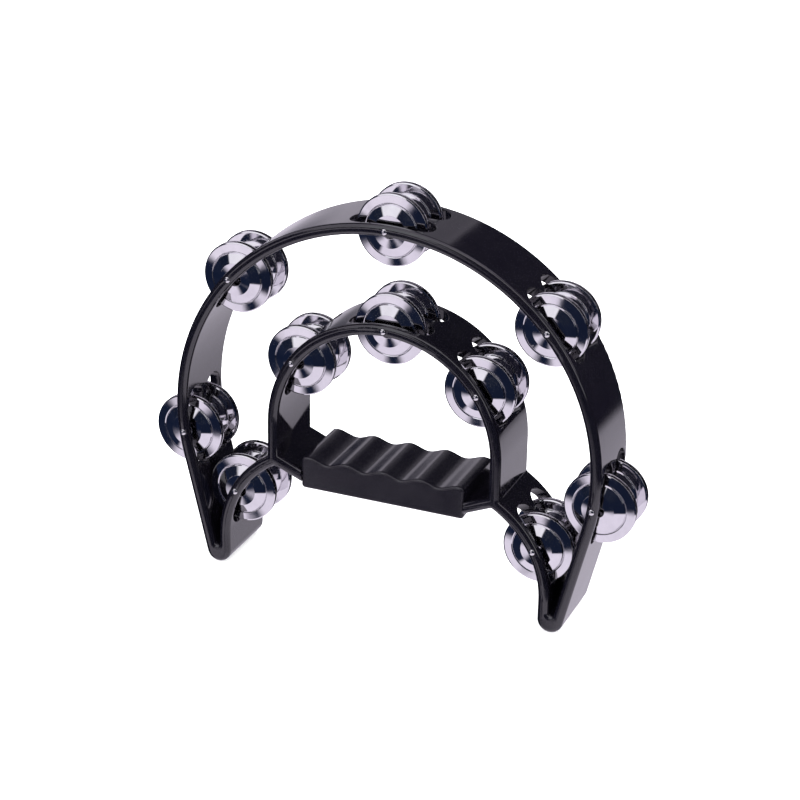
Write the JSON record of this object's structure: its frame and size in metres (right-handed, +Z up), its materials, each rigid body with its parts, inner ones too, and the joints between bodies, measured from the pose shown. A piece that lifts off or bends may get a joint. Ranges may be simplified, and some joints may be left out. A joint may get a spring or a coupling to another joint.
{
  "type": "tambourine",
  "caption": "Half-moon hand tambourine: a moulded double-arch frame with a finger-groove grip bar and rows of paired jingles on steel pins.",
  "frame": {"origin": "on the ground under the middle of the tambourine, half way between its two leg tips and half way through its depth", "axes": "+Z up through the crown of both arches, +X to the right across the width, +Y from the front rim to the back rim, along the pins"},
  "size_m": [0.2822, 0.0467, 0.2315],
  "materials": {
    "frame_plastic": "gloss",
    "grip_plastic": "satin",
    "pin_steel": "polished",
    "jingle_steel": "mirror"
  },
  "bodies": {
    "frame": {"frame": "frame_plastic", "handle_grip": "grip_plastic", "pin_inner_left": "pin_steel", "pin_inner_right": "pin_steel", "pin_inner_top": "pin_steel", "pin_lower_left": "pin_steel", "pin_lower_right": "pin_steel", "pin_outer_left_high": "pin_steel", "pin_outer_left_low": "pin_steel", "pin_outer_right_high": "pin_steel", "pin_outer_right_low": "pin_steel", "pin_outer_top": "pin_steel"},
    "jingle_inner_left_back_a": {"jingle_inner_left_back_a": "jingle_steel"},
    "jingle_inner_left_back_b": {"jingle_inner_left_back_b": "jingle_steel"},
    "jingle_inner_left_front_a": {"jingle_inner_left_front_a": "jingle_steel"},
    "jingle_inner_left_front_b": {"jingle_inner_left_front_b": "jingle_steel"},
    "jingle_inner_right_back_a": {"jingle_inner_right_back_a": "jingle_steel"},
    "jingle_inner_right_back_b": {"jingle_inner_right_back_b": "jingle_steel"},
    "jingle_inner_right_front_a": {"jingle_inner_right_front_a": "jingle_steel"},
    "jingle_inner_right_front_b": {"jingle_inner_right_front_b": "jingle_steel"},
    "jingle_inner_top_back_a": {"jingle_inner_top_back_a": "jingle_steel"},
    "jingle_inner_top_back_b": {"jingle_inner_top_back_b": "jingle_steel"},
    "jingle_inner_top_front_a": {"jingle_inner_top_front_a": "jingle_steel"},
    "jingle_inner_top_front_b": {"jingle_inner_top_front_b": "jingle_steel"},
    "jingle_lower_left_back_a": {"jingle_lower_left_back_a": "jingle_steel"},
    "jingle_lower_left_back_b": {"jingle_lower_left_back_b": "jingle_steel"},
    "jingle_lower_left_front_a": {"jingle_lower_left_front_a": "jingle_steel"},
    "jingle_lower_left_front_b": {"jingle_lower_left_front_b": "jingle_steel"},
    "jingle_lower_right_back_a": {"jingle_lower_right_back_a": "jingle_steel"},
    "jingle_lower_right_back_b": {"jingle_lower_right_back_b": "jingle_steel"},
    "jingle_lower_right_front_a": {"jingle_lower_right_front_a": "jingle_steel"},
    "jingle_lower_right_front_b": {"jingle_lower_right_front_b": "jingle_steel"},
    "jingle_outer_left_high_back_a": {"jingle_outer_left_high_back_a": "jingle_steel"},
    "jingle_outer_left_high_back_b": {"jingle_outer_left_high_back_b": "jingle_steel"},
    "jingle_outer_left_high_front_a": {"jingle_outer_left_high_front_a": "jingle_steel"},
    "jingle_outer_left_high_front_b": {"jingle_outer_left_high_front_b": "jingle_steel"},
    "jingle_outer_left_low_back_a": {"jingle_outer_left_low_back_a": "jingle_steel"},
    "jingle_outer_left_low_back_b": {"jingle_outer_left_low_back_b": "jingle_steel"},
    "jingle_outer_left_low_front_a": {"jingle_outer_left_low_front_a": "jingle_steel"},
    "jingle_outer_left_low_front_b": {"jingle_outer_left_low_front_b": "jingle_steel"},
    "jingle_outer_right_high_back_a": {"jingle_outer_right_high_back_a": "jingle_steel"},
    "jingle_outer_right_high_back_b": {"jingle_outer_right_high_back_b": "jingle_steel"},
    "jingle_outer_right_high_front_a": {"jingle_outer_right_high_front_a": "jingle_steel"},
    "jingle_outer_right_high_front_b": {"jingle_outer_right_high_front_b": "jingle_steel"},
    "jingle_outer_right_low_back_a": {"jingle_outer_right_low_back_a": "jingle_steel"},
    "jingle_outer_right_low_back_b": {"jingle_outer_right_low_back_b": "jingle_steel"},
    "jingle_outer_right_low_front_a": {"jingle_outer_right_low_front_a": "jingle_steel"},
    "jingle_outer_right_low_front_b": {"jingle_outer_right_low_front_b": "jingle_steel"},
    "jingle_outer_top_back_a": {"jingle_outer_top_back_a": "jingle_steel"},
    "jingle_outer_top_back_b": {"jingle_outer_top_back_b": "jingle_steel"},
    "jingle_outer_top_front_a": {"jingle_outer_top_front_a": "jingle_steel"},
    "jingle_outer_top_front_b": {"jingle_outer_top_front_b": "jingle_steel"}
  },
  "joints": [
    {"name": "slide_inner_left_back_a", "type": "slide", "parent": "frame", "child": "jingle_inner_left_back_a", "axis": [0, 1, 0], "range_m": [-0.0005, 0.0007]},
    {"name": "slide_inner_left_back_b", "type": "slide", "parent": "frame", "child": "jingle_inner_left_back_b", "axis": [0, 1, 0], "range_m": [-0.0007, 0.0047]},
    {"name": "slide_inner_left_front_a", "type": "slide", "parent": "frame", "child": "jingle_inner_left_front_a", "axis": [0, 1, 0], "range_m": [-0.0022, 0.0007]},
    {"name": "slide_inner_left_front_b", "type": "slide", "parent": "frame", "child": "jingle_inner_left_front_b", "axis": [0, 1, 0], "range_m": [-0.0007, 0.003]},
    {"name": "slide_inner_right_back_a", "type": "slide", "parent": "frame", "child": "jingle_inner_right_back_a", "axis": [0, 1, 0], "range_m": [-0.0005, 0.0007]},
    {"name": "slide_inner_right_back_b", "type": "slide", "parent": "frame", "child": "jingle_inner_right_back_b", "axis": [0, 1, 0], "range_m": [-0.0007, 0.0047]},
    {"name": "slide_inner_right_front_a", "type": "slide", "parent": "frame", "child": "jingle_inner_right_front_a", "axis": [0, 1, 0], "range_m": [-0.0022, 0.0007]},
    {"name": "slide_inner_right_front_b", "type": "slide", "parent": "frame", "child": "jingle_inner_right_front_b", "axis": [0, 1, 0], "range_m": [-0.0007, 0.003]},
    {"name": "slide_inner_top_back_a", "type": "slide", "parent": "frame", "child": "jingle_inner_top_back_a", "axis": [0, 1, 0], "range_m": [-0.0005, 0.0007]},
    {"name": "slide_inner_top_back_b", "type": "slide", "parent": "frame", "child": "jingle_inner_top_back_b", "axis": [0, 1, 0], "range_m": [-0.0007, 0.0047]},
    {"name": "slide_inner_top_front_a", "type": "slide", "parent": "frame", "child": "jingle_inner_top_front_a", "axis": [0, 1, 0], "range_m": [-0.0022, 0.0007]},
    {"name": "slide_inner_top_front_b", "type": "slide", "parent": "frame", "child": "jingle_inner_top_front_b", "axis": [0, 1, 0], "range_m": [-0.0007, 0.003]},
    {"name": "slide_lower_left_back_a", "type": "slide", "parent": "frame", "child": "jingle_lower_left_back_a", "axis": [0, 1, 0], "range_m": [-0.0005, 0.0007]},
    {"name": "slide_lower_left_back_b", "type": "slide", "parent": "frame", "child": "jingle_lower_left_back_b", "axis": [0, 1, 0], "range_m": [-0.0007, 0.0047]},
    {"name": "slide_lower_left_front_a", "type": "slide", "parent": "frame", "child": "jingle_lower_left_front_a", "axis": [0, 1, 0], "range_m": [-0.0022, 0.0007]},
    {"name": "slide_lower_left_front_b", "type": "slide", "parent": "frame", "child": "jingle_lower_left_front_b", "axis": [0, 1, 0], "range_m": [-0.0007, 0.003]},
    {"name": "slide_lower_right_back_a", "type": "slide", "parent": "frame", "child": "jingle_lower_right_back_a", "axis": [0, 1, 0], "range_m": [-0.0005, 0.0007]},
    {"name": "slide_lower_right_back_b", "type": "slide", "parent": "frame", "child": "jingle_lower_right_back_b", "axis": [0, 1, 0], "range_m": [-0.0007, 0.0047]},
    {"name": "slide_lower_right_front_a", "type": "slide", "parent": "frame", "child": "jingle_lower_right_front_a", "axis": [0, 1, 0], "range_m": [-0.0022, 0.0007]},
    {"name": "slide_lower_right_front_b", "type": "slide", "parent": "frame", "child": "jingle_lower_right_front_b", "axis": [0, 1, 0], "range_m": [-0.0007, 0.003]},
    {"name": "slide_outer_left_high_back_a", "type": "slide", "parent": "frame", "child": "jingle_outer_left_high_back_a", "axis": [0, 1, 0], "range_m": [-0.0005, 0.0007]},
    {"name": "slide_outer_left_high_back_b", "type": "slide", "parent": "frame", "child": "jingle_outer_left_high_back_b", "axis": [0, 1, 0], "range_m": [-0.0007, 0.0047]},
    {"name": "slide_outer_left_high_front_a", "type": "slide", "parent": "frame", "child": "jingle_outer_left_high_front_a", "axis": [0, 1, 0], "range_m": [-0.0022, 0.0007]},
    {"name": "slide_outer_left_high_front_b", "type": "slide", "parent": "frame", "child": "jingle_outer_left_high_front_b", "axis": [0, 1, 0], "range_m": [-0.0007, 0.003]},
    {"name": "slide_outer_left_low_back_a", "type": "slide", "parent": "frame", "child": "jingle_outer_left_low_back_a", "axis": [0, 1, 0], "range_m": [-0.0005, 0.0007]},
    {"name": "slide_outer_left_low_back_b", "type": "slide", "parent": "frame", "child": "jingle_outer_left_low_back_b", "axis": [0, 1, 0], "range_m": [-0.0007, 0.0047]},
    {"name": "slide_outer_left_low_front_a", "type": "slide", "parent": "frame", "child": "jingle_outer_left_low_front_a", "axis": [0, 1, 0], "range_m": [-0.0022, 0.0007]},
    {"name": "slide_outer_left_low_front_b", "type": "slide", "parent": "frame", "child": "jingle_outer_left_low_front_b", "axis": [0, 1, 0], "range_m": [-0.0007, 0.003]},
    {"name": "slide_outer_right_high_back_a", "type": "slide", "parent": "frame", "child": "jingle_outer_right_high_back_a", "axis": [0, 1, 0], "range_m": [-0.0005, 0.0007]},
    {"name": "slide_outer_right_high_back_b", "type": "slide", "parent": "frame", "child": "jingle_outer_right_high_back_b", "axis": [0, 1, 0], "range_m": [-0.0007, 0.0047]},
    {"name": "slide_outer_right_high_front_a", "type": "slide", "parent": "frame", "child": "jingle_outer_right_high_front_a", "axis": [0, 1, 0], "range_m": [-0.0022, 0.0007]},
    {"name": "slide_outer_right_high_front_b", "type": "slide", "parent": "frame", "child": "jingle_outer_right_high_front_b", "axis": [0, 1, 0], "range_m": [-0.0007, 0.003]},
    {"name": "slide_outer_right_low_back_a", "type": "slide", "parent": "frame", "child": "jingle_outer_right_low_back_a", "axis": [0, 1, 0], "range_m": [-0.0005, 0.0007]},
    {"name": "slide_outer_right_low_back_b", "type": "slide", "parent": "frame", "child": "jingle_outer_right_low_back_b", "axis": [0, 1, 0], "range_m": [-0.0007, 0.0047]},
    {"name": "slide_outer_right_low_front_a", "type": "slide", "parent": "frame", "child": "jingle_outer_right_low_front_a", "axis": [0, 1, 0], "range_m": [-0.0022, 0.0007]},
    {"name": "slide_outer_right_low_front_b", "type": "slide", "parent": "frame", "child": "jingle_outer_right_low_front_b", "axis": [0, 1, 0], "range_m": [-0.0007, 0.003]},
    {"name": "slide_outer_top_back_a", "type": "slide", "parent": "frame", "child": "jingle_outer_top_back_a", "axis": [0, 1, 0], "range_m": [-0.0005, 0.0007]},
    {"name": "slide_outer_top_back_b", "type": "slide", "parent": "frame", "child": "jingle_outer_top_back_b", "axis": [0, 1, 0], "range_m": [-0.0007, 0.0047]},
    {"name": "slide_outer_top_front_a", "type": "slide", "parent": "frame", "child": "jingle_outer_top_front_a", "axis": [0, 1, 0], "range_m": [-0.0022, 0.0007]},
    {"name": "slide_outer_top_front_b", "type": "slide", "parent": "frame", "child": "jingle_outer_top_front_b", "axis": [0, 1, 0], "range_m": [-0.0007, 0.003]}
  ]
}
